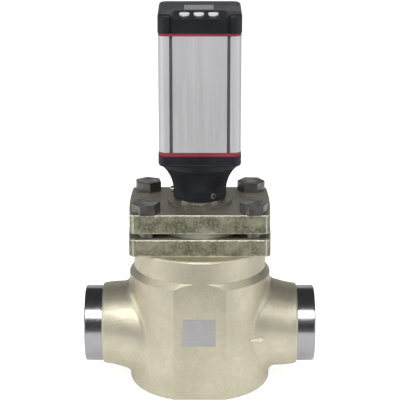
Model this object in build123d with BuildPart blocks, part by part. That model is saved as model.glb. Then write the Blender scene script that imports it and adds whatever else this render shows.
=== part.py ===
from build123d import *
from math import cos, radians, sin, sqrt
import os

# Motor-operated globe valve with butt-weld ends and a magnetically coupled stepper actuator.
# Origin at the centre of the base, +Z up, flow from -X to +X, front at -Y, sizes in millimetres.

# Clearances between pieces
seat_gap = 0.15
slip_gap = 0.05
thread_gap = 0.05
free_gap = 0.4
open_gap = 1.0
cut_margin = 1.0
join_depth = 1.0

# Pipe ends
pipe_axis_height = 58.0
pipe_outer_diameter = 76.1
pipe_wall = 2.9
end_to_end = 230.0
nipple_length = 17.4
nipple_bevel = 1.0

# Cast valve body
neck_radius = 65.7
shoulder_step = 4.5
flat_inset = 0.3
base_edge_radius = 4.0
shoulder_bottom = 115.3
shoulder_top = 121.7
ledge_radius = 4.0
flange_top = 162.0
flange_thickness = 17.0
flange_width = 140.4
plate_depth = 100.0
plate_side_bow = 1.8
plate_corner_radius = 5.0
flange_edge_radius = 1.5
port_collar_radius = 40.4
port_collar_edge = 2.5
port_mid_radius = 42.4
port_mid_inset = 12.5
port_root_radius = 44.6
port_root_reach = 0.8
port_root_depth = 26.0
port_root_flare = 3.0
port_lean = 1.9
port_lean_root = 4.56
port_blend_radius = 8.0

# Flow passage in the body
floor_thickness = 10.0
body_wall = 12.2
chamber_top = 124.0
guide_bore_radius = 42.0
counterbore_radius = 46.3
counterbore_depth = 10.0
web_bore_radius = 40.0
web_bottom = 44.0
web_top = 60.0
web_flat_half = 46.0
web_inlet_rise = 46.0
web_outlet_drop = 38.0
web_inlet_thickening = 5.0
web_outlet_thinning = 6.0
web_overlap = 3.0

# Cover, its bolts and its gasket
cover_gap = 6.0
cover_thickness = 19.0
cover_width = 139.0
cover_edge_radius = 0.8
cover_boss_radius = 31.9
cover_boss_height = 3.0
spigot_radius = 46.0
bolt_spacing_x = 104.0
bolt_spacing_y = 79.0
bolt_radius = 8.0
bolt_hole_radius = 8.75
bolt_engagement = 14.0
bolt_head_flats = 24.0
bolt_head_height = 10.0
bolt_head_chamfer = 0.6
bolt_head_angles = [8.0, -22.0, 10.0, -3.0]
gasket_thickness = 1.0

# Insert: cage, seat and seals
cage_wall = 5.3
cage_flange_thickness = 4.0
cage_window_bottom = 61.0
cage_window_height = 21.0
cage_window_width = 26.0
cage_window_count = 6
cage_window_corner = 4.0
seat_radius = 32.5
seat_ring_height = 6.0
seat_ring_step = 2.0
seal_section = 2.6
upper_seal_drop = 10.0
foot_seal_lift = 4.0
cage_foot_bore_radius = 34.0

# Throttle cone and its screw drive
lift = 20.0
cone_disc_thickness = 8.0
cone_skirt_length = 22.0
cone_skirt_wall = 3.5
cone_port_width = 26.0
cone_port_rim = 2.0
piston_wall = 4.0
piston_height = 50.0
piston_ring_height = 2.5
piston_ring_depth = 2.0
piston_ring_pitch = 6.0
cone_seal_thickness = 2.5
cone_seal_lip = 1.2
nut_outer_radius = 12.0
nut_length = 16.0
nut_stand_off = 6.0
screw_radius = 8.0
spindle_radius = 6.0
spindle_collar_radius = 11.0
spindle_collar_thickness = 4.0
spindle_end_chamfer = 1.0
spindle_stand_off = 2.0
bush_radius = 10.0
bush_length = 20.0
washer_thickness = 1.0
guide_pin_radius = 3.0
guide_pin_offset = 24.0
guide_pin_socket = 6.0
guide_pin_lift = 2.0
cone_hub_wall = 3.5
cover_hub_radius = 14.0
cover_hub_length = 15.0

# Magnetic coupling
can_flange_radius = 25.0
can_flange_thickness = 2.5
can_flange_edge = 0.8
can_hub_radius = 21.8
can_hub_height = 19.5
can_wall = 1.0
can_inner_radius = 12.0
can_skirt_radius = 16.0
can_skirt_length = 14.0
can_seal_section = 2.2
can_head_room = 2.5
magnet_height = 20.0
magnet_gap = 0.5
outer_magnet_wall = 3.5
cup_wall = 2.0
cup_overhang = 1.0
cup_disc_thickness = 4.0
coupling_head_gap = 1.0
shaft_radius = 4.0

# Actuator casing
housing_width = 79.0
casing_overhang = 0.5
actuator_corner_radius = 8.0
neck_foot_radius = 26.1
neck_foot_height = 6.0
flare_radius = 36.0
flare_rim_radius = 39.0
neck_height = 39.5
base_height = 10.6
base_edge_rounding = 3.0
base_wall = 6.0
lower_gasket_height = 4.0
housing_height = 113.0
housing_wall = 4.5
groove_inset = 12.1
groove_width = 3.0
groove_depth = 2.5
cavity_corner_radius = 3.0
upper_gasket_height = 2.6
cap_height = 18.1
cap_wall = 5.0
cap_side_wall = 4.0
cap_screw_recess = 0.1
cap_edge_radius = 3.0
cap_slope_drop = 4.2
cap_slope_depth = 24.0
cap_slope_shoulder = 7.0
cap_slope_shoulder_drop = 2.6
casing_screw_inset = 7.0
casing_screw_radius = 2.0
casing_screw_head_radius = 3.6
casing_screw_head_height = 2.4
casing_screw_length = 24.0
casing_screw_socket_radius = 1.6
casing_screw_socket_depth = 1.4
channel_radius = 4.2
set_screw_radius = 3.0
set_screw_angles = [-62.0, 58.0, 178.0]
set_screw_height = 6.5
set_screw_reach = 2.4
set_screw_socket_radius = 1.5
set_screw_socket_depth = 3.0

# Motor
motor_width = 57.0
motor_corner = 5.0
motor_bell_height = 8.0
stator_height = 40.0
stator_bore_radius = 14.0
rotor_gap = 0.3
rotor_end_gap = 3.0
bearing_radius = 9.5
bearing_height = 5.0
bracket_thickness = 4.0
bracket_side_gap = 1.5
bracket_hole_radius = 11.0
post_radius = 4.0
post_offset = 24.0

# Electronics and controls
board_thickness = 1.6
board_side_gap = 6.0
board_corner_radius = 2.0
spacer_height = 8.0
spacer_radius = 3.0
spacer_offset = 23.5
control_board_drop = 11.0
window_width = 28.4
window_depth = 26.0
window_centre_y = 2.0
window_thickness = 1.8
window_lip = 1.5
display_margin = 2.0
display_gap = 1.0
board_boss_radius = 2.5
board_boss_offset = 25.5
button_radius = 5.0
button_drop = 0.6
button_edge_radius = 0.5
button_travel = 0.8
button_pitch = 13.7
controls_centre_x = -0.9
button_row_y = -27.0
button_flange_radius = 6.2
button_flange_thickness = 1.0
switch_width = 6.0
connector_spacing = 36.0
connector_rise = 8.0
connector_radius = 7.5
connector_thread_radius = 6.0
connector_collar_length = 4.0
connector_thread_length = 9.0
connector_socket_radius = 4.6
connector_socket_floor = 1.0
connector_tail = 2.0
connector_pin_radius = 0.5
connector_pin_circle = 2.3
connector_pin_count = 4

# Label plate
label_width = 31.8
label_height = 27.6
label_thickness = 0.5
label_centre_x = -0.5
label_centre_height = 71.4
label_corner_radius = 1.2

# Places and sizes that follow from the ones above
nipple_radius = pipe_outer_diameter / 2
drum_radius = neck_radius + shoulder_step
flat_distance = neck_radius - flat_inset
flat_cut_reach = drum_radius + cut_margin
chamber_radius = drum_radius - body_wall
web_reach = chamber_radius + web_overlap
port_root_distance = drum_radius + port_root_reach
actuator_width = housing_width + 2 * casing_overhang
groove_offset = housing_width / 2 - groove_inset
slope_half_width = groove_offset + groove_width / 2
slope_flat_half = slope_half_width - cap_slope_shoulder
casing_screw_offset = housing_width / 2 - casing_screw_inset
cavity_width = housing_width - 2 * housing_wall
bracket_width = cavity_width - 2 * bracket_side_gap
board_width = cavity_width - 2 * board_side_gap
pipe_bore_radius = nipple_radius - pipe_wall
end_distance = end_to_end / 2
collar_distance = end_distance - nipple_length
flange_bottom = flange_top - flange_thickness
cover_bottom = flange_top + cover_gap
cover_top = cover_bottom + cover_thickness
boss_top = cover_top + cover_boss_height
counterbore_floor = flange_top - counterbore_depth
cage_top = counterbore_floor + cage_flange_thickness
spigot_bottom = cage_top + gasket_thickness
cage_outer_radius = guide_bore_radius - seat_gap
cage_foot_radius = web_bore_radius - seat_gap
cage_bore_radius = cage_outer_radius - cage_wall
seat_top = web_top - seat_ring_step
seat_bottom = seat_top - seat_ring_height
piston_radius = cage_bore_radius - slip_gap
cone_top = seat_top + cone_disc_thickness + piston_height
nut_bottom = seat_top + cone_disc_thickness + lift + nut_stand_off
hub_bottom = spigot_bottom - cover_hub_length
collar_top = hub_bottom - washer_thickness
can_flange_top = boss_top + can_flange_thickness
can_hub_top = can_flange_top + can_hub_height
magnet_bottom = can_hub_top + can_head_room
can_inner_top = magnet_bottom + magnet_height + can_head_room
can_top = can_inner_top + can_wall
can_outer_radius = can_inner_radius + can_wall
cup_disc_bottom = can_top + coupling_head_gap
base_bottom = can_flange_top + neck_height
base_top = base_bottom + base_height
housing_bottom = base_top + lower_gasket_height
housing_top = housing_bottom + housing_height
cap_bottom = housing_top + upper_gasket_height
cap_top = cap_bottom + cap_height
bracket_bottom = housing_bottom + free_gap
motor_bottom = bracket_bottom + bracket_thickness
stator_bottom = motor_bottom + motor_bell_height
stator_top = stator_bottom + stator_height
motor_top = stator_top + motor_bell_height
driver_board_bottom = motor_top + spacer_height
board_top = cap_top - control_board_drop
neck_foot_top = can_flange_top + neck_foot_height
cup_inner_radius = can_outer_radius + magnet_gap + outer_magnet_wall + slip_gap
cup_outer_radius = cup_inner_radius + cup_wall
upper_seal_height = counterbore_floor - upper_seal_drop
foot_seal_height = web_bottom + foot_seal_lift
skirt_radius = seat_radius - free_gap
cone_seal_radius = piston_radius - cone_seal_lip
disc_top = seat_top + cone_disc_thickness
nut_top = nut_bottom + nut_length
hub_radius = nut_outer_radius + cone_hub_wall
spindle_bottom = disc_top + lift + spindle_stand_off
spindle_top = magnet_bottom + magnet_height + open_gap
guide_pin_bottom = seat_top + guide_pin_lift
piston_ring_heights = [cone_top - piston_ring_pitch * n - piston_ring_height for n in (1, 2)]
can_seal_height = boss_top - can_skirt_length / 2
connector_height = cap_bottom + connector_rise
button_flange_top = cap_top - cap_wall - slip_gap
button_flange_bottom = button_flange_top - button_flange_thickness
switch_height = button_flange_bottom - button_travel - slip_gap - board_top

os.makedirs("parts", exist_ok=True)


def plate_outline(width, depth, bow, corner):
    """Rectangular plate face with bowed short sides and rounded corners."""
    half_end = width / 2 - bow
    with BuildSketch() as outline:
        with BuildLine():
            Line((-half_end, -depth / 2), (half_end, -depth / 2))
            ThreePointArc((half_end, -depth / 2), (width / 2, 0), (half_end, depth / 2))
            Line((half_end, depth / 2), (-half_end, depth / 2))
            ThreePointArc((-half_end, depth / 2), (-width / 2, 0), (-half_end, -depth / 2))
        make_face()
        fillet(outline.vertices(), radius=corner)
    return outline.sketch


def turned_ring(outer_radius, inner_radius, bottom, top):
    """Plain ring about the spindle axis."""
    with BuildPart() as ring:
        with BuildSketch(Plane.XY.offset(bottom)):
            Circle(outer_radius)
            if inner_radius > 0:
                Circle(inner_radius, mode=Mode.SUBTRACT)
        extrude(amount=top - bottom)
    return ring.part


def seal_ring(outer_radius, section, centre_height):
    """Round-section seal whose outside touches the given radius."""
    with BuildPart() as seal:
        with BuildSketch(Plane.XZ):
            with Locations((outer_radius - section / 2, centre_height)):
                Circle(section / 2)
        revolve(axis=Axis.Z)
    return seal.part


def grooved_square(width, corner):
    """Casing outline with a vertical groove at each end of every flat side."""
    with BuildSketch() as outline:
        RectangleRounded(width, width, corner)
        with PolarLocations(width / 2, 4):
            with Locations((0, -groove_offset), (0, groove_offset)):
                Rectangle(2 * groove_depth, groove_width, mode=Mode.SUBTRACT)
    return outline.sketch


def corner_points(offset):
    """Four places at equal distances either side of both axes."""
    return [(x, y) for x in (-offset, offset) for y in (-offset, offset)]


def frame_opening(width, boss_radius):
    """Square opening that leaves a round boss at each casing screw."""
    with BuildSketch() as opening:
        RectangleRounded(width, width, cavity_corner_radius)
        with Locations(corner_points(casing_screw_offset)):
            Circle(boss_radius, mode=Mode.SUBTRACT)
    return opening.sketch


# Valve body: drum, shoulder and neck turned about the spindle axis, with swelling side ports
with BuildPart() as valve_body:
    with BuildSketch(Plane.XZ):
        with BuildLine():
            Polyline(
                (0, flange_bottom),
                (0, 0),
                (drum_radius, 0),
                (drum_radius, shoulder_bottom),
                (neck_radius, shoulder_top),
                (neck_radius, flange_bottom - ledge_radius),
            )
            RadiusArc(
                (neck_radius, flange_bottom - ledge_radius),
                (neck_radius - ledge_radius, flange_bottom),
                -ledge_radius,
            )
            Line((neck_radius - ledge_radius, flange_bottom), (0, flange_bottom))
        make_face()
    revolve(axis=Axis.Z)
    with BuildSketch(Plane.XY):
        Rectangle(2 * flat_cut_reach, 2 * flat_cut_reach)
        Rectangle(2 * flat_cut_reach, 2 * flat_distance, mode=Mode.SUBTRACT)
    extrude(amount=flange_bottom, mode=Mode.SUBTRACT)
    fillet(valve_body.edges().group_by(Axis.Z)[0], radius=base_edge_radius)

    # Each port leans towards its side of the seat: the inlet downwards, the outlet upwards
    for side in (-1, 1):
        sections = [
            (port_root_distance - port_root_depth, port_root_radius + port_root_flare, port_lean_root),
            (port_root_distance, port_root_radius, port_lean),
            (collar_distance - port_mid_inset, port_mid_radius, 0.0),
            (collar_distance, port_collar_radius, 0.0),
        ]
        for distance, radius, rise in sections:
            with BuildSketch(Plane.YZ.offset(side * distance)):
                with Locations((0, pipe_axis_height + side * rise)):
                    Circle(radius)
        loft()
    port_seams = valve_body.edges().filter_by(GeomType.BSPLINE).sort_by(SortBy.LENGTH)[-2:]
    fillet(port_seams, radius=port_blend_radius)
    collar_rims = valve_body.edges().filter_by(lambda e: abs(abs(e.center().X) - collar_distance) < 0.01)
    fillet(collar_rims, radius=port_collar_edge)
    with BuildSketch(Plane.YZ.offset(-end_distance)):
        with Locations((0, pipe_axis_height)):
            Circle(nipple_radius)
    extrude(amount=end_to_end)
    nipple_rims = valve_body.edges().filter_by(lambda e: abs(abs(e.center().X) - end_distance) < 0.01)
    chamfer(nipple_rims, length=nipple_bevel)

    # Cover flange with its tapped holes
    with BuildSketch(Plane.XY.offset(flange_bottom)):
        add(plate_outline(flange_width, plate_depth, plate_side_bow, plate_corner_radius))
    extrude(amount=flange_thickness)
    fillet(valve_body.faces().sort_by(Axis.Z)[-1].edges(), radius=flange_edge_radius)
    with BuildSketch(Plane.XY.offset(flange_top)):
        with GridLocations(bolt_spacing_x, bolt_spacing_y, 2, 2):
            Circle(bolt_radius + thread_gap)
    extrude(amount=-bolt_engagement - open_gap, mode=Mode.SUBTRACT)

    # Pipe bore, round chamber and the stepped bore that takes the insert
    with BuildSketch(Plane.YZ.offset(-end_distance)):
        with Locations((0, pipe_axis_height)):
            Circle(pipe_bore_radius)
    extrude(amount=end_to_end, mode=Mode.SUBTRACT)
    with BuildSketch(Plane.XY.offset(floor_thickness)):
        Circle(chamber_radius)
    extrude(amount=chamber_top - floor_thickness, mode=Mode.SUBTRACT)
    with BuildSketch(Plane.XY.offset(chamber_top)):
        Circle(guide_bore_radius)
    extrude(amount=flange_top - chamber_top, mode=Mode.SUBTRACT)
    with BuildSketch(Plane.XY.offset(counterbore_floor)):
        Circle(counterbore_radius)
    extrude(amount=counterbore_depth, mode=Mode.SUBTRACT)

    # S-shaped web: roof of the inlet on the left, floor of the outlet on the right
    with BuildSketch(Plane.XZ):
        with BuildLine():
            Polyline(
                (-web_reach, web_top + web_inlet_rise),
                (-web_flat_half, web_top),
                (web_flat_half, web_top),
                (web_reach, web_top - web_outlet_drop),
                (web_reach, web_bottom - web_outlet_drop + web_outlet_thinning),
                (web_flat_half, web_bottom),
                (-web_flat_half, web_bottom),
                (-web_reach, web_bottom + web_inlet_rise + web_inlet_thickening),
                close=True,
            )
        make_face()
    web = extrude(amount=web_reach, both=True, mode=Mode.PRIVATE)
    with Locations((0, 0, floor_thickness)):
        chamber_core = Cylinder(
            chamber_radius + join_depth,
            chamber_top - floor_thickness,
            align=(Align.CENTER, Align.CENTER, Align.MIN),
            mode=Mode.PRIVATE,
        )
    add(web & chamber_core)
    with BuildSketch(Plane.XY.offset(web_bottom - cut_margin)):
        Circle(web_bore_radius)
    extrude(amount=chamber_top - web_bottom, mode=Mode.SUBTRACT)

valve_body.part.label = "valve_body"
export_step(valve_body.part, "parts/valve_body.step")

# Cover: bowed plate with a spigot below, a hub for the spindle bush and a round boss above
with BuildPart() as top_cover:
    with BuildSketch(Plane.XY.offset(cover_bottom)):
        add(plate_outline(cover_width, plate_depth, plate_side_bow, plate_corner_radius))
    extrude(amount=cover_thickness)
    plate_rims = top_cover.edges().filter_by(Plane.XY)
    fillet(plate_rims, radius=cover_edge_radius)
    with BuildSketch(Plane.XY.offset(cover_top)):
        Circle(cover_boss_radius)
    extrude(amount=cover_boss_height)
    with BuildSketch(Plane.XY.offset(spigot_bottom)):
        Circle(spigot_radius)
    extrude(amount=cover_bottom - spigot_bottom)
    with BuildSketch(Plane.XY.offset(hub_bottom)):
        Circle(cover_hub_radius)
    extrude(amount=spigot_bottom - hub_bottom)
    with BuildSketch(Plane.XY.offset(hub_bottom)):
        Circle(bush_radius)
    extrude(amount=bush_length, mode=Mode.SUBTRACT)
    with BuildSketch(Plane.XY.offset(hub_bottom)):
        Circle(spindle_radius + open_gap)
    extrude(amount=boss_top - hub_bottom, mode=Mode.SUBTRACT)
    with BuildSketch(Plane.XY.offset(boss_top - can_skirt_length - seat_gap)):
        Circle(can_skirt_radius + seat_gap)
    extrude(amount=can_skirt_length + seat_gap, mode=Mode.SUBTRACT)
    with BuildSketch(Plane.XY.offset(cover_bottom)):
        with GridLocations(bolt_spacing_x, bolt_spacing_y, 2, 2):
            Circle(bolt_hole_radius)
    extrude(amount=cover_thickness, mode=Mode.SUBTRACT)
    with BuildSketch(Plane.XY.offset(spigot_bottom)):
        with Locations((0, guide_pin_offset)):
            Circle(guide_pin_radius)
    extrude(amount=guide_pin_socket, mode=Mode.SUBTRACT)
top_cover.part.label = "top_cover"
export_step(top_cover.part, "parts/top_cover.step")

# Hexagon bolts, each head turned its own way as tightened
with BuildPart() as cover_bolts:
    bolt_places = GridLocations(bolt_spacing_x, bolt_spacing_y, 2, 2).locations
    for place, angle in zip(bolt_places, bolt_head_angles):
        with BuildSketch(Plane.XY.offset(cover_top)):
            with Locations(place):
                RegularPolygon(bolt_head_flats / 2, 6, major_radius=False, rotation=angle)
        extrude(amount=bolt_head_height)
        with BuildSketch(Plane.XY.offset(cover_top)):
            with Locations(place):
                Circle(bolt_radius)
        extrude(amount=flange_top - bolt_engagement - cover_top)
    head_rims = cover_bolts.edges().group_by(Axis.Z)[-1]
    chamfer(head_rims, length=bolt_head_chamfer)
cover_bolts.part.label = "cover_bolts"
export_step(cover_bolts.part, "parts/cover_bolts.step")

# Insert cage: flanged guide cylinder with flow windows and a foot that seals in the web
with BuildPart() as insert_cage:
    with BuildSketch(Plane.XZ):
        with BuildLine():
            Polyline(
                (cage_bore_radius, cage_top),
                (counterbore_radius - 2 * seat_gap, cage_top),
                (counterbore_radius - 2 * seat_gap, counterbore_floor),
                (cage_outer_radius, counterbore_floor),
                (cage_outer_radius, web_top + seat_gap),
                (cage_foot_radius, web_top + seat_gap),
                (cage_foot_radius, web_bottom),
                (cage_foot_bore_radius, web_bottom),
                (cage_foot_bore_radius, seat_bottom),
                (cage_bore_radius, seat_bottom),
                close=True,
            )
        make_face()
        with Locations((cage_outer_radius, upper_seal_height)):
            Rectangle(2 * seal_section, seal_section + 2 * seat_gap, mode=Mode.SUBTRACT)
        with Locations((cage_foot_radius, foot_seal_height)):
            Rectangle(2 * seal_section, seal_section + 2 * seat_gap, mode=Mode.SUBTRACT)
    revolve(axis=Axis.Z)
    with BuildSketch(Plane.YZ):
        with Locations((0, cage_window_bottom + cage_window_height / 2)):
            RectangleRounded(cage_window_width, cage_window_height, cage_window_corner)
    window_cutter = extrude(amount=cage_outer_radius + cut_margin, mode=Mode.PRIVATE)
    with PolarLocations(0, cage_window_count):
        add(window_cutter, mode=Mode.SUBTRACT)
insert_cage.part.label = "insert_cage"
export_step(insert_cage.part, "parts/insert_cage.step")

seat_ring_solid = turned_ring(cage_bore_radius - slip_gap, seat_radius, seat_bottom, seat_top)
seat_ring_solid.label = "seat_ring"
export_step(seat_ring_solid, "parts/seat_ring.step")

cage_upper_seal = seal_ring(guide_bore_radius - slip_gap, seal_section, upper_seal_height)
cage_upper_seal.label = "cage_upper_seal"
export_step(cage_upper_seal, "parts/cage_upper_seal.step")

cage_foot_seal = seal_ring(web_bore_radius - slip_gap, seal_section, foot_seal_height)
cage_foot_seal.label = "cage_foot_seal"
export_step(cage_foot_seal, "parts/cage_foot_seal.step")

cover_gasket = turned_ring(
    counterbore_radius - 2 * seat_gap, cage_bore_radius + open_gap, cage_top, cage_top + gasket_thickness
)
cover_gasket.label = "cover_gasket"
export_step(cover_gasket, "parts/cover_gasket.step")

# Throttle cone: balanced piston with a ported skirt under its disc
with BuildPart() as throttle_cone:
    with BuildSketch(Plane.XZ):
        with BuildLine():
            Polyline(
                (0, disc_top),
                (0, seat_top),
                (skirt_radius - cone_skirt_wall, seat_top),
                (skirt_radius - cone_skirt_wall, seat_top - cone_skirt_length),
                (skirt_radius, seat_top - cone_skirt_length),
                (skirt_radius, seat_top + cone_seal_thickness),
                (cone_seal_radius, seat_top + cone_seal_thickness),
                (cone_seal_radius, seat_top + free_gap),
                (piston_radius, seat_top + free_gap),
                (piston_radius, cone_top),
                (piston_radius - piston_wall, cone_top),
                (piston_radius - piston_wall, disc_top),
                (hub_radius, disc_top),
                (hub_radius, nut_top),
                (nut_outer_radius, nut_top),
                (nut_outer_radius, nut_bottom),
                (screw_radius + open_gap, nut_bottom),
                (screw_radius + open_gap, disc_top),
                close=True,
            )
        make_face()
        for ring_height in piston_ring_heights:
            with Locations((piston_radius, ring_height + piston_ring_height / 2)):
                Rectangle(2 * piston_ring_depth, piston_ring_height, mode=Mode.SUBTRACT)
    revolve(axis=Axis.Z)
    # Tapered flow ports, widest at the bottom of the skirt
    for side_plane in (Plane.XZ, Plane.YZ):
        with BuildSketch(side_plane):
            with BuildLine():
                Polyline(
                    (-cone_port_width / 2, seat_top - cone_skirt_length),
                    (cone_port_width / 2, seat_top - cone_skirt_length),
                    (0, seat_top - cone_port_rim),
                    close=True,
                )
            make_face()
        extrude(amount=skirt_radius + cut_margin, both=True, mode=Mode.SUBTRACT)
    # Guide hole, and a second hole opposite that balances the pressure
    with BuildSketch(Plane.XY.offset(seat_top)):
        with Locations((0, guide_pin_offset), (0, -guide_pin_offset)):
            Circle(guide_pin_radius + slip_gap)
    extrude(amount=cone_disc_thickness, mode=Mode.SUBTRACT)
throttle_cone.part.label = "throttle_cone"
export_step(throttle_cone.part, "parts/throttle_cone.step")

cone_seal = turned_ring(cone_seal_radius, skirt_radius, seat_top, seat_top + cone_seal_thickness)
cone_seal.label = "cone_seal"
export_step(cone_seal, "parts/cone_seal.step")

with BuildPart() as piston_rings:
    for ring_height in piston_ring_heights:
        with BuildSketch(Plane.XY.offset(ring_height)):
            Circle(piston_radius)
            Circle(piston_radius - piston_ring_depth, mode=Mode.SUBTRACT)
        extrude(amount=piston_ring_height)
piston_rings.part.label = "piston_rings"
export_step(piston_rings.part, "parts/piston_rings.step")

spindle_nut = turned_ring(nut_outer_radius, screw_radius + thread_gap, nut_bottom, nut_top)
spindle_nut.label = "spindle_nut"
export_step(spindle_nut, "parts/spindle_nut.step")

guide_pin = turned_ring(guide_pin_radius, 0, guide_pin_bottom, spigot_bottom + guide_pin_socket)
guide_pin = Pos(0, guide_pin_offset, 0) * guide_pin
guide_pin.label = "guide_pin"
export_step(guide_pin, "parts/guide_pin.step")

# Spindle: screw below the collar, plain shank above it, up into the coupling can
with BuildPart() as spindle:
    with BuildSketch(Plane.XZ):
        with BuildLine():
            Polyline(
                (0, spindle_bottom),
                (screw_radius - spindle_end_chamfer, spindle_bottom),
                (screw_radius, spindle_bottom + spindle_end_chamfer),
                (screw_radius, collar_top - spindle_collar_thickness),
                (spindle_collar_radius, collar_top - spindle_collar_thickness),
                (spindle_collar_radius, collar_top),
                (spindle_radius, collar_top),
                (spindle_radius, spindle_top),
                (0, spindle_top),
                close=True,
            )
        make_face()
    revolve(axis=Axis.Z)
spindle.part.label = "spindle"
export_step(spindle.part, "parts/spindle.step")

thrust_washer = turned_ring(spindle_collar_radius, spindle_radius + slip_gap, collar_top, hub_bottom)
thrust_washer.label = "thrust_washer"
export_step(thrust_washer, "parts/thrust_washer.step")

spindle_bush = turned_ring(bush_radius, spindle_radius + slip_gap, hub_bottom, hub_bottom + bush_length)
spindle_bush.label = "spindle_bush"
export_step(spindle_bush, "parts/spindle_bush.step")

inner_magnet = turned_ring(
    can_inner_radius - magnet_gap, spindle_radius, magnet_bottom, magnet_bottom + magnet_height
)
inner_magnet.label = "inner_magnet"
export_step(inner_magnet, "parts/inner_magnet.step")

# Coupling can: flange and hub that carry the actuator, thin closed tube between the magnets
with BuildPart() as coupling_can:
    with BuildSketch(Plane.XZ):
        with BuildLine():
            Polyline(
                (can_inner_radius, boss_top - can_skirt_length),
                (can_skirt_radius, boss_top - can_skirt_length),
                (can_skirt_radius, boss_top),
                (can_flange_radius, boss_top),
                (can_flange_radius, can_flange_top),
                (can_hub_radius, can_flange_top),
                (can_hub_radius, can_hub_top),
                (can_outer_radius, can_hub_top),
                (can_outer_radius, can_top),
                (0, can_top),
                (0, can_inner_top),
                (can_inner_radius, can_inner_top),
                close=True,
            )
        make_face()
        with Locations((can_skirt_radius, can_seal_height)):
            Rectangle(2 * can_seal_section, can_seal_section + 2 * seat_gap, mode=Mode.SUBTRACT)
    revolve(axis=Axis.Z)
    flange_rims = coupling_can.edges().filter_by(GeomType.CIRCLE)
    flange_rims = flange_rims.filter_by(lambda e: abs(e.radius - can_flange_radius) < 0.01)
    fillet(flange_rims.sort_by(Axis.Z)[-1], radius=can_flange_edge)
coupling_can.part.label = "coupling_can"
export_step(coupling_can.part, "parts/coupling_can.step")

can_seal = seal_ring(can_skirt_radius + seat_gap - slip_gap, can_seal_section, can_seal_height)
can_seal.label = "can_seal"
export_step(can_seal, "parts/can_seal.step")

# Driving half of the coupling, motor shaft and motor
with BuildPart() as drive_cup:
    with BuildSketch(Plane.XZ):
        with BuildLine():
            Polyline(
                (cup_inner_radius, magnet_bottom - cup_overhang),
                (cup_outer_radius, magnet_bottom - cup_overhang),
                (cup_outer_radius, cup_disc_bottom + cup_disc_thickness),
                (2 * shaft_radius, cup_disc_bottom + cup_disc_thickness),
                (2 * shaft_radius, bracket_bottom - free_gap),
                (shaft_radius, bracket_bottom - free_gap),
                (shaft_radius, cup_disc_bottom),
                (cup_inner_radius, cup_disc_bottom),
                close=True,
            )
        make_face()
    revolve(axis=Axis.Z)
drive_cup.part.label = "drive_cup"
export_step(drive_cup.part, "parts/drive_cup.step")

outer_magnet = turned_ring(
    cup_inner_radius, can_outer_radius + magnet_gap, magnet_bottom, magnet_bottom + magnet_height
)
outer_magnet.label = "outer_magnet"
export_step(outer_magnet, "parts/outer_magnet.step")

motor_shaft = turned_ring(shaft_radius, 0, cup_disc_bottom, stator_top + bearing_height - free_gap)
motor_shaft.label = "motor_shaft"
export_step(motor_shaft, "parts/motor_shaft.step")

motor_rotor = turned_ring(
    stator_bore_radius - rotor_gap, shaft_radius, stator_bottom + rotor_end_gap, stator_top - rotor_end_gap
)
motor_rotor.label = "motor_rotor"
export_step(motor_rotor, "parts/motor_rotor.step")

with BuildPart() as motor_bearings:
    for bearing_bottom in (stator_bottom - bearing_height, stator_top):
        with BuildSketch(Plane.XY.offset(bearing_bottom)):
            Circle(bearing_radius)
            Circle(shaft_radius + slip_gap, mode=Mode.SUBTRACT)
        extrude(amount=bearing_height)
motor_bearings.part.label = "motor_bearings"
export_step(motor_bearings.part, "parts/motor_bearings.step")

with BuildPart() as motor_stator:
    with BuildSketch(Plane.XY.offset(stator_bottom)):
        RectangleRounded(motor_width, motor_width, motor_corner)
        Circle(stator_bore_radius, mode=Mode.SUBTRACT)
    extrude(amount=stator_height)
motor_stator.part.label = "motor_stator"
export_step(motor_stator.part, "parts/motor_stator.step")

with BuildPart() as motor_lower_bell:
    with BuildSketch(Plane.XY.offset(motor_bottom)):
        RectangleRounded(motor_width, motor_width, motor_corner)
        Circle(shaft_radius + open_gap, mode=Mode.SUBTRACT)
    extrude(amount=motor_bell_height)
    with BuildSketch(Plane.XY.offset(stator_bottom)):
        Circle(bearing_radius)
    extrude(amount=-bearing_height, mode=Mode.SUBTRACT)
motor_lower_bell.part.label = "motor_lower_bell"
export_step(motor_lower_bell.part, "parts/motor_lower_bell.step")

with BuildPart() as motor_upper_bell:
    with BuildSketch(Plane.XY.offset(stator_top)):
        RectangleRounded(motor_width, motor_width, motor_corner)
    extrude(amount=motor_bell_height)
    with BuildSketch(Plane.XY.offset(stator_top)):
        Circle(bearing_radius)
    extrude(amount=bearing_height, mode=Mode.SUBTRACT)
motor_upper_bell.part.label = "motor_upper_bell"
export_step(motor_upper_bell.part, "parts/motor_upper_bell.step")

with BuildPart() as motor_bracket:
    with BuildSketch(Plane.XY.offset(bracket_bottom)):
        add(frame_opening(bracket_width, channel_radius + open_gap))
        Circle(bracket_hole_radius, mode=Mode.SUBTRACT)
    extrude(amount=bracket_thickness)
motor_bracket.part.label = "motor_bracket"
export_step(motor_bracket.part, "parts/motor_bracket.step")


def base_block():
    """Square base with its bottom edges rounded."""
    with BuildPart() as block:
        with BuildSketch(Plane.XY.offset(base_bottom)):
            RectangleRounded(actuator_width, actuator_width, actuator_corner_radius)
        extrude(amount=base_height)
        fillet(block.faces().sort_by(Axis.Z)[0].edges(), radius=base_edge_rounding)
    return block.part


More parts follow.
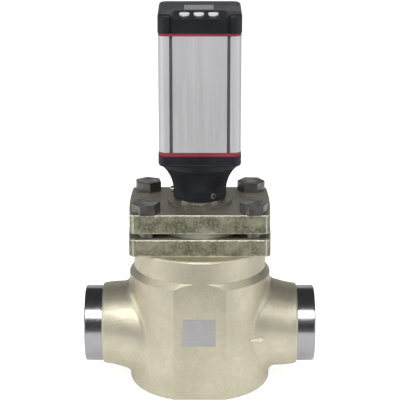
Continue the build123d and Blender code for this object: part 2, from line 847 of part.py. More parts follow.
# Flared neck and square base of the actuator, moulded in one
with BuildPart() as lower_housing:
    flare_height = sqrt(flare_radius**2 - (flare_radius - flare_rim_radius + neck_foot_radius) ** 2)
    with BuildSketch(Plane.XZ):
        with BuildLine():
            Polyline(
                (0, base_bottom),
                (0, can_flange_top),
                (neck_foot_radius, can_flange_top),
                (neck_foot_radius, neck_foot_top),
            )
            RadiusArc(
                (neck_foot_radius, neck_foot_top),
                (flare_rim_radius, neck_foot_top + flare_height),
                flare_radius,
            )
            Polyline(
                (flare_rim_radius, neck_foot_top + flare_height),
                (flare_rim_radius, base_bottom + join_depth),
                (0, base_bottom + join_depth),
                (0, base_bottom),
            )
        make_face()
    revolve(axis=Axis.Z)
    add(base_block())
    with BuildSketch(Plane.XY.offset(can_flange_top)):
        Circle(can_hub_radius + seat_gap)
    extrude(amount=can_hub_height + seat_gap, mode=Mode.SUBTRACT)
    with BuildSketch(Plane.XY.offset(can_flange_top)):
        Circle(cup_outer_radius + open_gap)
    extrude(amount=base_top - can_flange_top, mode=Mode.SUBTRACT)
    with BuildSketch(Plane.XY.offset(base_bottom + base_wall)):
        add(frame_opening(housing_width - 2 * base_wall, channel_radius))
    extrude(amount=base_height - base_wall, mode=Mode.SUBTRACT)
    with BuildSketch(Plane.XY.offset(base_bottom + base_wall)):
        with Locations(corner_points(post_offset)):
            Circle(post_radius)
    extrude(amount=bracket_bottom - base_bottom - base_wall)
    with BuildSketch(Plane.XY.offset(base_bottom)):
        with Locations(corner_points(casing_screw_offset)):
            Circle(casing_screw_radius + seat_gap)
    extrude(amount=base_height, mode=Mode.SUBTRACT)
    with BuildSketch(Plane.XY.offset(base_bottom)):
        with Locations(corner_points(casing_screw_offset)):
            Circle(casing_screw_head_radius + seat_gap)
    extrude(amount=casing_screw_head_height, mode=Mode.SUBTRACT)
    for angle in set_screw_angles:
        screw_plane = Plane(
            origin=(0, 0, can_flange_top + set_screw_height),
            z_dir=(cos(radians(angle)), sin(radians(angle)), 0),
        )
        with BuildSketch(screw_plane.offset(can_hub_radius)):
            Circle(set_screw_radius + thread_gap)
        extrude(amount=neck_foot_radius - can_hub_radius + cut_margin, mode=Mode.SUBTRACT)
lower_housing.part.label = "lower_housing"
export_step(lower_housing.part, "parts/lower_housing.step")

with BuildPart() as set_screws:
    for angle in set_screw_angles:
        screw_plane = Plane(
            origin=(0, 0, can_flange_top + set_screw_height),
            z_dir=(cos(radians(angle)), sin(radians(angle)), 0),
        )
        with BuildSketch(screw_plane.offset(can_hub_radius + slip_gap)):
            Circle(set_screw_radius)
        extrude(amount=neck_foot_radius - can_hub_radius + set_screw_reach)
        with BuildSketch(screw_plane.offset(neck_foot_radius + set_screw_reach + slip_gap)):
            RegularPolygon(set_screw_socket_radius, 6)
        extrude(amount=-set_screw_socket_depth, mode=Mode.SUBTRACT)
set_screws.part.label = "set_screws"
export_step(set_screws.part, "parts/set_screws.step")


def casing_gasket(bottom, height):
    """Flat square seal with a hole for each casing screw."""
    with BuildPart() as gasket:
        with BuildSketch(Plane.XY.offset(bottom)):
            RectangleRounded(housing_width, housing_width, actuator_corner_radius)
            add(frame_opening(housing_width - 2 * base_wall, channel_radius), mode=Mode.SUBTRACT)
            with Locations(corner_points(casing_screw_offset)):
                Circle(casing_screw_radius + seat_gap, mode=Mode.SUBTRACT)
        extrude(amount=height)
    return gasket.part


lower_gasket = casing_gasket(base_top, lower_gasket_height)
lower_gasket.label = "lower_gasket"
export_step(lower_gasket, "parts/lower_gasket.step")

upper_gasket = casing_gasket(housing_top, upper_gasket_height)
upper_gasket.label = "upper_gasket"
export_step(upper_gasket, "parts/upper_gasket.step")

# Motor housing: grooved aluminium extrusion with a screw channel in each corner
with BuildPart() as motor_housing:
    with BuildSketch(Plane.XY.offset(housing_bottom)):
        add(grooved_square(housing_width, actuator_corner_radius))
        add(frame_opening(cavity_width, channel_radius), mode=Mode.SUBTRACT)
        with Locations(corner_points(casing_screw_offset)):
            Circle(casing_screw_radius + thread_gap, mode=Mode.SUBTRACT)
    extrude(amount=housing_height)
motor_housing.part.label = "motor_housing"
export_step(motor_housing.part, "parts/motor_housing.step")


def casing_screws(head_face, toward):
    """Four screws from a head face into the housing's channels; toward is 1 for up and -1 for down."""
    with BuildPart() as screws:
        for x, y in corner_points(casing_screw_offset):
            with BuildSketch(Plane.XY.offset(head_face)):
                with Locations((x, y)):
                    Circle(casing_screw_head_radius)
            extrude(amount=toward * casing_screw_head_height)
            with BuildSketch(Plane.XY.offset(head_face + toward * casing_screw_head_height)):
                with Locations((x, y)):
                    Circle(casing_screw_radius)
            extrude(amount=toward * (casing_screw_length - casing_screw_head_height))
            with BuildSketch(Plane.XY.offset(head_face)):
                with Locations((x, y)):
                    RegularPolygon(casing_screw_socket_radius, 6)
            extrude(amount=toward * casing_screw_socket_depth, mode=Mode.SUBTRACT)
    return screws.part


base_screws = casing_screws(base_bottom, 1)
base_screws.label = "base_screws"
export_step(base_screws, "parts/base_screws.step")

cap_screws = casing_screws(cap_top - cap_screw_recess, -1)
cap_screws.label = "cap_screws"
export_step(cap_screws, "parts/cap_screws.step")

# Cap: shallow cover with a window and a panel that slopes down to the front, where the buttons are
with BuildPart() as top_cap:
    with BuildSketch(Plane.XY.offset(cap_bottom)):
        RectangleRounded(actuator_width, actuator_width, actuator_corner_radius)
    extrude(amount=cap_height)
    fillet(top_cap.faces().sort_by(Axis.Z)[-1].edges(), radius=cap_edge_radius)
    with BuildSketch(Plane.XY.offset(cap_bottom)):
        Rectangle(2 * actuator_width, 2 * actuator_width)
        add(grooved_square(actuator_width, actuator_corner_radius), mode=Mode.SUBTRACT)
    extrude(amount=cap_height, mode=Mode.SUBTRACT)
    with BuildSketch(Plane.XZ.offset(actuator_width / 2)):
        with BuildLine():
            for side in (-1, 1):
                ThreePointArc(
                    (side * slope_half_width, cap_top),
                    (side * (slope_half_width - cap_slope_shoulder / 3), cap_top - cap_slope_shoulder_drop),
                    (side * slope_flat_half, cap_top - cap_slope_drop),
                )
            Line((-slope_flat_half, cap_top - cap_slope_drop), (slope_flat_half, cap_top - cap_slope_drop))
            Polyline(
                (-slope_half_width, cap_top),
                (-slope_half_width, cap_top + cap_slope_drop),
                (slope_half_width, cap_top + cap_slope_drop),
                (slope_half_width, cap_top),
            )
        make_face()
    extrude(amount=actuator_width, dir=(0, cap_slope_depth, cap_slope_drop), mode=Mode.SUBTRACT)
    with BuildSketch(Plane.XY.offset(cap_bottom)):
        add(frame_opening(actuator_width - 2 * cap_side_wall, channel_radius + open_gap))
    extrude(amount=cap_height - cap_wall, mode=Mode.SUBTRACT)
    with BuildSketch(Plane.XY.offset(board_top)):
        with Locations(corner_points(board_boss_offset)):
            Circle(board_boss_radius)
    extrude(amount=control_board_drop - cap_wall)
    with BuildSketch(Plane.XY.offset(cap_bottom)):
        with Locations(corner_points(casing_screw_offset)):
            Circle(casing_screw_radius + seat_gap)
        with Locations((controls_centre_x, window_centre_y)):
            Rectangle(window_width - 2 * window_lip, window_depth - 2 * window_lip)
        for column in (-1, 0, 1):
            with Locations((controls_centre_x + column * button_pitch, button_row_y)):
                Circle(button_radius + seat_gap)
    extrude(amount=cap_height, mode=Mode.SUBTRACT)
    with BuildSketch(Plane.XY.offset(cap_top)):
        with Locations(corner_points(casing_screw_offset)):
            Circle(casing_screw_head_radius + seat_gap)
    extrude(amount=-cap_screw_recess - casing_screw_head_height, mode=Mode.SUBTRACT)
    with BuildSketch(Plane.XY.offset(cap_top)):
        with Locations((controls_centre_x, window_centre_y)):
            Rectangle(window_width + 2 * slip_gap, window_depth + 2 * slip_gap)
    extrude(amount=-window_thickness, mode=Mode.SUBTRACT)
    with BuildSketch(Plane.XZ.offset(-actuator_width / 2 - cut_margin)):
        for side in (-1, 1):
            with Locations((side * connector_spacing / 2, connector_height)):
                Circle(connector_thread_radius + slip_gap)
    extrude(amount=cap_side_wall + connector_tail + 2 * cut_margin, mode=Mode.SUBTRACT)
top_cap.part.label = "top_cap"
export_step(top_cap.part, "parts/top_cap.step")

with BuildPart() as display_window:
    with BuildSketch(Plane.XY.offset(cap_top - window_thickness)):
        with Locations((controls_centre_x, window_centre_y)):
            Rectangle(window_width, window_depth)
    extrude(amount=window_thickness)
display_window.part.label = "display_window"
export_step(display_window.part, "parts/display_window.step")

with BuildPart() as display_module:
    with BuildSketch(Plane.XY.offset(board_top)):
        with Locations((controls_centre_x, window_centre_y)):
            Rectangle(window_width - 2 * display_margin, window_depth - 2 * display_margin)
    extrude(amount=control_board_drop - cap_wall - display_gap)
display_module.part.label = "display_module"
export_step(display_module.part, "parts/display_module.step")

with BuildPart() as control_board:
    with BuildSketch(Plane.XY.offset(board_top - board_thickness)):
        RectangleRounded(board_width, board_width, board_corner_radius)
    extrude(amount=board_thickness)
control_board.part.label = "control_board"
export_step(control_board.part, "parts/control_board.step")

with BuildPart() as tact_switches:
    with BuildSketch(Plane.XY.offset(board_top)):
        for column in (-1, 0, 1):
            with Locations((controls_centre_x + column * button_pitch, button_row_y)):
                Rectangle(switch_width, switch_width)
    extrude(amount=switch_height)
tact_switches.part.label = "tact_switches"
export_step(tact_switches.part, "parts/tact_switches.step")

# Three round buttons, each with a retaining flange under the cap wall
for column, name in ((-1, "button_left"), (0, "button_middle"), (1, "button_right")):
    with BuildPart() as button:
        with BuildSketch(Plane.XY.offset(button_flange_top)):
            with Locations((controls_centre_x + column * button_pitch, button_row_y)):
                Circle(button_radius)
        extrude(amount=cap_top - button_drop - button_flange_top)
        fillet(button.edges().group_by(Axis.Z)[-1], radius=button_edge_radius)
        with BuildSketch(Plane.XY.offset(button_flange_top)):
            with Locations((controls_centre_x + column * button_pitch, button_row_y)):
                Circle(button_flange_radius)
        extrude(amount=-button_flange_thickness)
    button.part.label = name
    export_step(button.part, f"parts/{name}.step")

with BuildPart() as driver_board:
    with BuildSketch(Plane.XY.offset(driver_board_bottom)):
        RectangleRounded(board_width, board_width, board_corner_radius)
    extrude(amount=board_thickness)
driver_board.part.label = "driver_board"
export_step(driver_board.part, "parts/driver_board.step")

with BuildPart() as board_spacers:
    with BuildSketch(Plane.XY.offset(motor_top)):
        with Locations(corner_points(spacer_offset)):
            RegularPolygon(spacer_radius, 6)
    extrude(amount=spacer_height)
board_spacers.part.label = "board_spacers"
export_step(board_spacers.part, "parts/board_spacers.step")

# Rear inlets for supply and signal: collar, threaded nose with a socket and its pins
for side, name in ((-1, "supply_connector"), (1, "signal_connector")):
    rear = Plane(origin=(side * connector_spacing / 2, actuator_width / 2, connector_height), z_dir=(0, 1, 0))
    with BuildPart() as connector:
        with BuildSketch(rear):
            Circle(connector_radius)
        extrude(amount=connector_collar_length)
        with BuildSketch(rear):
            Circle(connector_thread_radius)
        extrude(amount=-cap_side_wall - connector_tail)
        with BuildSketch(rear.offset(connector_collar_length)):
            Circle(connector_thread_radius)
        extrude(amount=connector_thread_length)
        with BuildSketch(rear.offset(connector_collar_length + connector_thread_length)):
            Circle(connector_socket_radius)
            with PolarLocations(connector_pin_circle, connector_pin_count):
                Circle(connector_pin_radius, mode=Mode.SUBTRACT)
        extrude(amount=connector_socket_floor - connector_thread_length, mode=Mode.SUBTRACT)
    connector.part.label = name
    export_step(connector.part, f"parts/{name}.step")

# Bare plate on the front flat of the body
with BuildPart() as label_plate:
    with BuildSketch(Plane.XZ.offset(flat_distance)):
        with Locations((label_centre_x, label_centre_height)):
            RectangleRounded(label_width, label_height, label_corner_radius)
    extrude(amount=label_thickness)
label_plate.part.label = "label_plate"
export_step(label_plate.part, "parts/label_plate.step")
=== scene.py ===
"""Motor-operated refrigeration valve: finishes, small raised pieces and studio stage."""

import math

import bpy
import bmesh
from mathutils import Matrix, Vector


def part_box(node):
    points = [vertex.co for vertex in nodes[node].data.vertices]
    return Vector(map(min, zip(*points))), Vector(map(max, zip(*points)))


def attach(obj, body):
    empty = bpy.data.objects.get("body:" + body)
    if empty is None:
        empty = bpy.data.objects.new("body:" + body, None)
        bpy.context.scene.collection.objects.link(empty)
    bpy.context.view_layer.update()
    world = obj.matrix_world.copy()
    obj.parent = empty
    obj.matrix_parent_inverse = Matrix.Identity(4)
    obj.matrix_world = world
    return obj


bl_info = {
    "name": "Motor-operated valve",
    "version": (1, 0, 0),
    "blender": (4, 5, 0),
    "location": "View3D > Sidebar > Valve",
    "description": "Finishes, small raised pieces and a studio stage for a motor-operated valve",
    "category": "Object",
}

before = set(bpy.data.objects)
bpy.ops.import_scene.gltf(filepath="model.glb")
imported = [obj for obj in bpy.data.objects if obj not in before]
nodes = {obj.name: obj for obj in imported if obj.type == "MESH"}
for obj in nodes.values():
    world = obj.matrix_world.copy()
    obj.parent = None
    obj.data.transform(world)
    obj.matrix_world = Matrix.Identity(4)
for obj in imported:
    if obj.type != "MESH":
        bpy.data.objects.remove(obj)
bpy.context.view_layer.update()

MM = 0.001

# Places on the casting and its cover
BODY_TOP_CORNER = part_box("valve_body")[1]
PIPE_END = BODY_TOP_CORNER[0]
NIPPLE_START = PIPE_END - 17.4 * MM
PIPE_AXIS_HEIGHT = 58 * MM
PIPE_BORE_RADIUS = 35.2 * MM
BORE_START = 58 * MM
FLANGE_TOP = BODY_TOP_CORNER[2]
FLANGE_FOOT = FLANGE_TOP - 17 * MM
COVER_FOOT = FLANGE_TOP + 6 * MM
COVER_TOP = COVER_FOOT + 19 * MM
PLATE_CORNER_X = 64.9 * MM
PLATE_CORNER_Y = 47 * MM
EDGE_RAGGEDNESS = 1.6 * MM

# Places on the actuator and the spindle
HOUSING_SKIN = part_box("motor_housing")[1][0]
GROOVE_CENTRE = HOUSING_SKIN - 12.1 * MM
GROOVE_HALF_WIDTH = 1.5 * MM
DISPLAY_HALF_WIDTH = 10.6 * MM
DISPLAY_HALF_HEIGHT = 9.1 * MM
SCREW_PITCH = 5 * MM
SCREW_TOP = 136.6 * MM

# Flow arrow: where its middle starts from, and how its outline is shared out
ARROW_PLACE = (56.5 * MM, -62 * MM, 57.5 * MM)
ARROW_HEAD_START = 0.12
ARROW_STEM_SHARE = 0.38
ARROW_EDGE_BEVEL = 0.18 * MM

# Thread round each rear inlet
THREAD_RADIUS = 6 * MM
THREAD_DEPTH = 0.9 * MM
THREAD_ROOT_SHARE = 0.72
THREAD_CREST_SHARE = 0.25
THREAD_TURNS = 8
THREAD_STEPS = 24
THREAD_LENGTH = 8.4 * MM
SECTION_POINTS = 4


# Sizes and colours

class ValveSizes(bpy.types.PropertyGroup):
    flow_mark_length: bpy.props.FloatProperty(
        name="Flow mark length", description="Length of the raised arrow on the outlet side",
        default=15 * MM, unit="LENGTH")
    flow_mark_width: bpy.props.FloatProperty(
        name="Flow mark width", description="Width of the arrow head",
        default=6.5 * MM, unit="LENGTH")
    flow_mark_relief: bpy.props.FloatProperty(
        name="Flow mark relief", description="How far the arrow stands out of the casting",
        default=1.1 * MM, unit="LENGTH")
    thread_pitch: bpy.props.FloatProperty(
        name="Connector thread pitch", description="Pitch of the thread on the rear inlets",
        default=1.0 * MM, unit="LENGTH")
    camera_distance: bpy.props.FloatProperty(
        name="Camera distance", description="Distance from the camera to the spindle axis",
        default=1.6, unit="LENGTH")
    camera_elevation: bpy.props.FloatProperty(
        name="Camera elevation", description="Angle of the camera above the horizon",
        default=math.radians(16.5), subtype="ANGLE")
    camera_target: bpy.props.FloatProperty(
        name="Camera target height", description="Height on the axis that the camera looks at",
        default=187.7 * MM, unit="LENGTH")
    lens_length: bpy.props.FloatProperty(
        name="Lens", description="Focal length on a 36 mm wide sensor",
        default=144.96, subtype="DISTANCE_CAMERA")


def colour_property(name, description, value):
    return bpy.props.FloatVectorProperty(
        name=name, description=description, default=value, subtype="COLOR", size=3, min=0, max=1)


class ValveColours(bpy.types.PropertyGroup):
    casting: colour_property("Casting", "Satin zinc-yellow body", (0.64, 0.60, 0.475))
    flange: colour_property("Flange", "Duller skin of the flange plates", (0.20, 0.195, 0.145))
    bonnet_top: colour_property("Bonnet top", "Brownish grey top of the cover", (0.20, 0.18, 0.145))
    turned_steel: colour_property("Turned steel", "Bare pipe ends", (0.47, 0.46, 0.48))
    bolt_steel: colour_property("Bolt steel", "Dark plated bolts", (0.25, 0.238, 0.225))
    stainless: colour_property("Stainless", "Coupling can", (0.62, 0.61, 0.59))
    aluminium: colour_property("Aluminium", "Anodised motor housing", (0.60, 0.60, 0.605))
    dark_plastic: colour_property("Dark plastic", "Cap and lower housing", (0.016, 0.017, 0.021))
    gasket: colour_property("Gasket", "Red square seals", (0.26, 0.03, 0.05))
    button: colour_property("Button", "White buttons", (0.80, 0.80, 0.79))
    label: colour_property("Label", "Bare silver plate", (0.44, 0.43, 0.43))


# Shader helpers

class Finish:
    """One node material on the object's own coordinates."""

    def __init__(self, name):
        self.material = bpy.data.materials.new(name)
        self.material.use_nodes = True
        self.tree = self.material.node_tree
        self.shader = self.tree.nodes["Principled BSDF"]
        self.position = self.node("ShaderNodeTexCoord").outputs["Object"]
        split = self.node("ShaderNodeSeparateXYZ")
        self.join(self.position, split.inputs[0])
        self.x, self.y, self.z = split.outputs

    def node(self, kind):
        return self.tree.nodes.new(kind)

    def join(self, source, socket):
        self.tree.links.new(source, socket)

    def feed(self, value, socket):
        """Links a node's output, or writes a plain number or colour."""
        if isinstance(value, bpy.types.NodeSocket):
            self.join(value, socket)
        elif isinstance(value, (tuple, list)) and len(value) == 3 and socket.type == "RGBA":
            socket.default_value = (*value, 1.0)
        else:
            socket.default_value = value

    def math(self, operation, a, b=0.0):
        step = self.node("ShaderNodeMath")
        step.operation = operation
        self.feed(a, step.inputs[0])
        self.feed(b, step.inputs[1])
        return step.outputs[0]

    def plus(self, a, b):
        return self.math("ADD", a, b)

    def minus(self, a, b):
        return self.math("SUBTRACT", a, b)

    def times(self, a, b):
        return self.math("MULTIPLY", a, b)

    def larger(self, a, b):
        return self.math("MAXIMUM", a, b)

    def unsigned(self, value):
        return self.math("ABSOLUTE", value)

    def radius(self, across, up):
        """Distance from an axis, of two distances square to it."""
        return self.math("SQRT", self.plus(self.math("POWER", across, 2.0), self.math("POWER", up, 2.0)))

    def ramp(self, value, low, high, out_low=0.0, out_high=1.0):
        """Smooth step of a value from low to high."""
        step = self.node("ShaderNodeMapRange")
        step.interpolation_type = "SMOOTHSTEP"
        self.feed(value, step.inputs["Value"])
        step.inputs["From Min"].default_value = low
        step.inputs["From Max"].default_value = high
        step.inputs["To Min"].default_value = out_low
        step.inputs["To Max"].default_value = out_high
        return step.outputs[0]

    def mix(self, factor, a, b):
        step = self.node("ShaderNodeMix")
        step.data_type = "RGBA"
        self.feed(factor, step.inputs[0])
        self.feed(a, step.inputs[6])
        self.feed(b, step.inputs[7])
        return step.outputs[2]

    def stretched(self, factors):
        step = self.node("ShaderNodeMapping")
        self.join(self.position, step.inputs["Vector"])
        step.inputs["Scale"].default_value = factors
        return step.outputs[0]

    def noise(self, scale, detail=3.0, roughness=0.55, vector=None, low=0.35, high=0.65):
        step = self.node("ShaderNodeTexNoise")
        self.join(vector or self.position, step.inputs["Vector"])
        step.inputs["Scale"].default_value = scale
        step.inputs["Detail"].default_value = detail
        step.inputs["Roughness"].default_value = roughness
        return self.ramp(step.outputs["Fac"], low, high)

    def cells(self, scale):
        step = self.node("ShaderNodeTexVoronoi")
        self.join(self.position, step.inputs["Vector"])
        step.inputs["Scale"].default_value = scale
        return step.outputs["Distance"]

    def tool_marks(self, axis, scale, distortion=0.0):
        """Fine parallel bands along an axis."""
        step = self.node("ShaderNodeTexWave")
        step.wave_type = "BANDS"
        step.bands_direction = axis
        self.join(self.position, step.inputs["Vector"])
        step.inputs["Scale"].default_value = scale
        step.inputs["Distortion"].default_value = distortion
        step.inputs["Detail"].default_value = 2.0
        return step.outputs["Fac"]

    def bump(self, height, strength, distance, below=None):
        step = self.node("ShaderNodeBump")
        self.feed(height, step.inputs["Height"])
        step.inputs["Strength"].default_value = strength
        step.inputs["Distance"].default_value = distance
        if below is not None:
            self.join(below, step.inputs["Normal"])
        return step.outputs[0]

    def done(self, colour, roughness, normal=None, metallic=0.0, gloss=None):
        self.feed(colour, self.shader.inputs["Base Color"])
        self.feed(roughness, self.shader.inputs["Roughness"])
        self.feed(metallic, self.shader.inputs["Metallic"])
        if normal is not None:
            self.join(normal, self.shader.inputs["Normal"])
        if gloss is not None:
            self.shader.inputs["Specular IOR Level"].default_value = gloss
        return self.material


def shade(colour, factor):
    return tuple(min(1.0, c * factor) for c in colour)


def apply_finish(material, *names):
    for name in names:
        slots = nodes[name].data.materials
        slots.clear()
        slots.append(material)


# Finishes of the casting and its cover

def edge_wear_and_highlight(finish, foot, top):
    """Bright bands on a plate's edges: bare metal where handling has scuffed the upper and lower edges,
    partly a painted highlight there, and a painted highlight down the vertical corner edges.
    """
    ragged = finish.times(finish.noise(300, 4.0, 0.7, low=0.3, high=0.75), EDGE_RAGGEDNESS)
    reaches_top = finish.ramp(finish.plus(finish.z, ragged), top - 0.9 * MM, top - 0.1 * MM)
    below_top = finish.ramp(finish.z, top - 0.03 * MM, top - 0.25 * MM)
    upper = finish.times(reaches_top, below_top)
    lower = finish.ramp(finish.minus(finish.z, ragged), foot + 0.4 * MM, foot - 0.2 * MM)
    side = finish.plus(finish.unsigned(finish.x), finish.times(ragged, 0.5))
    outside = finish.ramp(side, PLATE_CORNER_X - 1.0 * MM, PLATE_CORNER_X - 0.3 * MM)
    inside = finish.ramp(side, PLATE_CORNER_X + 1.3 * MM, PLATE_CORNER_X + 0.4 * MM)
    near_corner = finish.ramp(finish.unsigned(finish.y), PLATE_CORNER_Y - 3 * MM, PLATE_CORNER_Y)
    # Painted highlight: a thin bright band down each front corner of the plate, where the rounded corner
    # catches the light.
    upright = finish.times(finish.times(outside, inside), near_corner)
    along = finish.larger(upper, finish.times(lower, 0.6))
    return finish.larger(along, finish.times(upright, 0.6))


def mottled_plate(finish, colour, foot, top):
    """Cloudy olive skin with bright edges, partly bare-metal wear and partly painted highlight, as colour
    and edge mask.
    """
    olive = (colour[0] * 2.1, colour[1] * 2.05, colour[2] * 1.5)
    clouds = finish.noise(60, 4.0, 0.6)
    specks = finish.noise(420, 3.0, 0.6, low=0.42, high=0.7)
    skin = finish.mix(clouds, shade(colour, 0.55), shade(colour, 1.45))
    skin = finish.mix(finish.times(specks, 0.6), skin, olive)
    wear_and_highlight = edge_wear_and_highlight(finish, foot, top)
    # Bright edge colour: bare metal where the edges are scuffed, and a painted highlight along them and down
    # the corners.
    return finish.mix(wear_and_highlight, skin, (0.78, 0.76, 0.64)), wear_and_highlight


def cast_body_finish(colours):
    """Satin casting, dull flange, turned pipe ends and raw bores, told apart by place."""
    finish = Finish("cast_body")
    colour = tuple(colours.casting)
    broad = finish.noise(22, 3.0, 0.5)
    fine = finish.noise(150, 5.0, 0.65)
    grain = finish.noise(850, 2.0, 0.6, low=0.3, high=0.7)
    yellowed = (colour[0] * 0.95, colour[1] * 0.93, colour[2] * 0.80)
    skin = finish.mix(broad, shade(colour, 0.90), shade(colour, 1.10))
    skin = finish.mix(finish.times(fine, 0.4), skin, yellowed)
    skin = finish.mix(finish.times(grain, 0.30), skin, shade(colour, 1.30))
    plate, wear_and_highlight = mottled_plate(finish, tuple(colours.flange), FLANGE_FOOT, FLANGE_TOP)
    in_flange = finish.ramp(finish.z, FLANGE_FOOT + 0.1 * MM, FLANGE_FOOT + 0.6 * MM)
    painted = finish.mix(in_flange, skin, plate)

    reach = finish.unsigned(finish.x)
    pipe_radius = finish.radius(finish.y, finish.minus(finish.z, PIPE_AXIS_HEIGHT))
    on_nipple = finish.ramp(reach, NIPPLE_START - 0.2 * MM, NIPPLE_START + 0.1 * MM)
    within_pipe = finish.ramp(pipe_radius, PIPE_BORE_RADIUS + 0.3 * MM, PIPE_BORE_RADIUS + 0.1 * MM)
    in_bore = finish.times(within_pipe, finish.ramp(reach, BORE_START, BORE_START + 2 * MM))
    bare = finish.larger(on_nipple, in_bore)
    marks = finish.tool_marks("X", 700, 0.6)
    stains = finish.noise(90, 4.0, 0.6)
    steel = finish.mix(marks, shade(colours.turned_steel, 0.86), shade(colours.turned_steel, 1.08))
    steel = finish.mix(finish.times(stains, 0.10), steel, shade(colours.turned_steel, 0.7))
    raw = finish.mix(stains, (0.16, 0.155, 0.15), (0.28, 0.27, 0.26))
    face = finish.mix(bare, painted, finish.mix(in_bore, steel, raw))

    cast_share = finish.minus(1.0, bare)
    cast_rough = finish.plus(finish.ramp(fine, 0.0, 1.0, 0.40, 0.50), finish.times(in_flange, 0.06))
    steel_rough = finish.ramp(stains, 0.0, 1.0, 0.19, 0.23)
    rough = finish.plus(finish.times(cast_rough, cast_share), finish.times(steel_rough, bare))
    plated = finish.minus(0.90, finish.times(in_flange, 0.50))
    metal = finish.larger(finish.larger(bare, finish.times(wear_and_highlight, 0.9)), plated)
    pitted = finish.times(finish.plus(grain, finish.times(fine, 0.6)), cast_share)
    cast_normal = finish.bump(pitted, 0.36, 0.25 * MM)
    normal = finish.bump(finish.times(marks, bare), 0.10, 0.05 * MM, below=cast_normal)
    return finish.done(face, rough, normal, metal)


def arrow_painted_highlight_finish(colours):
    """Casting skin painted paler on the raised arrow: a painted highlight so that its form reads."""
    finish = Finish("arrow_painted_highlight")
    # Painted highlight: the whole arrow is lifted to 1.3 times the casting colour.
    colour = shade(colours.casting, 1.30)
    blotches = finish.noise(260, 4.0, 0.6)
    grain = finish.noise(1500, 2.0, 0.6, low=0.3, high=0.7)
    face = finish.mix(blotches, shade(colour, 0.93), shade(colour, 1.05))
    rough = finish.ramp(blotches, 0.0, 1.0, 0.34, 0.44)
    return finish.done(face, rough, finish.bump(grain, 0.20, 0.2 * MM), 0.85)


def bonnet_finish(colours):
    """Mottled sides with bright edges, partly bare-metal wear and partly painted highlight, and a browner
    top.
    """
    finish = Finish("bonnet")
    plate, wear_and_highlight = mottled_plate(finish, shade(colours.flange, 1.05), COVER_FOOT, COVER_TOP)
    clouds = finish.noise(45, 4.0, 0.6)
    specks = finish.noise(500, 3.0, 0.6, low=0.4, high=0.7)
    top = finish.mix(clouds, shade(colours.bonnet_top, 0.80), shade(colours.bonnet_top, 1.22))
    top = finish.mix(finish.times(specks, 0.35), top, shade(colours.bonnet_top, 1.7))
    on_top = finish.ramp(finish.z, COVER_TOP - 0.10 * MM, COVER_TOP - 0.02 * MM)
    face = finish.mix(on_top, plate, top)
    grain = finish.noise(1400, 2.0, 0.6, low=0.3, high=0.7)
    rough = finish.ramp(clouds, 0.0, 1.0, 0.38, 0.52)
    metal = finish.larger(0.4, finish.times(wear_and_highlight, 0.9))
    return finish.done(face, rough, finish.bump(grain, 0.25, 0.2 * MM), metal)


def label_finish(colours):
    """Bare foil with faint brushed lines across it."""
    finish = Finish("label_foil")
    fibres = finish.noise(1.0, 3.0, 0.6, vector=finish.stretched((60.0, 60.0, 900.0)))
    clouds = finish.noise(70, 3.0, 0.5)
    face = finish.mix(fibres, shade(colours.label, 0.95), shade(colours.label, 1.04))
    face = finish.mix(finish.times(clouds, 0.3), face, shade(colours.label, 0.88))
    rough = finish.ramp(clouds, 0.0, 1.0, 0.32, 0.45)
    return finish.done(face, rough, finish.bump(fibres, 0.06, 0.04 * MM), 0.35)


# Finishes of metal pieces

def steel_finish(name, colour, rough_low, rough_high, axis="Z", mark_scale=500, wear=0.35):
    """Turned metal with fine tool marks, stains and uneven gloss."""
    finish = Finish(name)
    colour = tuple(colour)
    marks = finish.tool_marks(axis, mark_scale, 1.0)
    stains = finish.noise(110, 4.0, 0.6)
    scuffs = finish.noise(900, 3.0, 0.6, low=0.45, high=0.7)
    face = finish.mix(marks, shade(colour, 0.90), shade(colour, 1.06))
    face = finish.mix(finish.times(stains, wear), face, shade(colour, 0.62))
    face = finish.mix(finish.times(scuffs, 0.25), face, shade(colour, 1.35))
    rough = finish.ramp(stains, 0.0, 1.0, rough_low, rough_high)
    return finish.done(face, rough, finish.bump(marks, 0.08, 0.05 * MM), 1.0)


def brushed_face(finish, colour, stretch):
    """Long streaks over broad clouds, as colour and streak mask."""
    streaks = finish.noise(1.0, 3.0, 0.6, vector=finish.stretched(stretch))
    broad = finish.noise(14, 2.0, 0.5)
    face = finish.mix(streaks, shade(colour, 0.95), shade(colour, 1.04))
    return finish.mix(finish.times(broad, 0.4), face, shade(colour, 1.08)), streaks


def plated_sheet_finish():
    finish = Finish("plated_sheet")
    face, streaks = brushed_face(finish, (0.52, 0.52, 0.53), (12.0, 700.0, 700.0))
    rough = finish.ramp(streaks, 0.0, 1.0, 0.36, 0.46)
    return finish.done(face, rough, finish.bump(streaks, 0.05, 0.04 * MM), 1.0)


def extrusion_finish(colours):
    """Anodised aluminium with streaks along it, and painted shade in the vertical grooves."""
    finish = Finish("anodised_extrusion")
    colour = tuple(colours.aluminium)
    face, streaks = brushed_face(finish, colour, (900.0, 900.0, 14.0))
    side_x = finish.unsigned(finish.x)
    side_y = finish.unsigned(finish.y)
    off_centre = finish.unsigned(finish.minus(finish.math("MINIMUM", side_x, side_y), GROOVE_CENTRE))
    between_walls = finish.ramp(off_centre, GROOVE_HALF_WIDTH + 0.1 * MM, GROOVE_HALF_WIDTH + 0.02 * MM)
    below_skin = finish.ramp(finish.larger(side_x, side_y), HOUSING_SKIN - 0.1 * MM, HOUSING_SKIN - 0.5 * MM)
    groove_shade = finish.times(between_walls, below_skin)
    # Painted shade: the groove floors and walls are darkened to stand in for the shade that falls in them.
    face = finish.mix(finish.times(groove_shade, 0.85), face, shade(colour, 0.16))
    rough = finish.ramp(streaks, 0.0, 1.0, 0.42, 0.52)
    return finish.done(face, rough, finish.bump(streaks, 0.05, 0.04 * MM), 0.45)


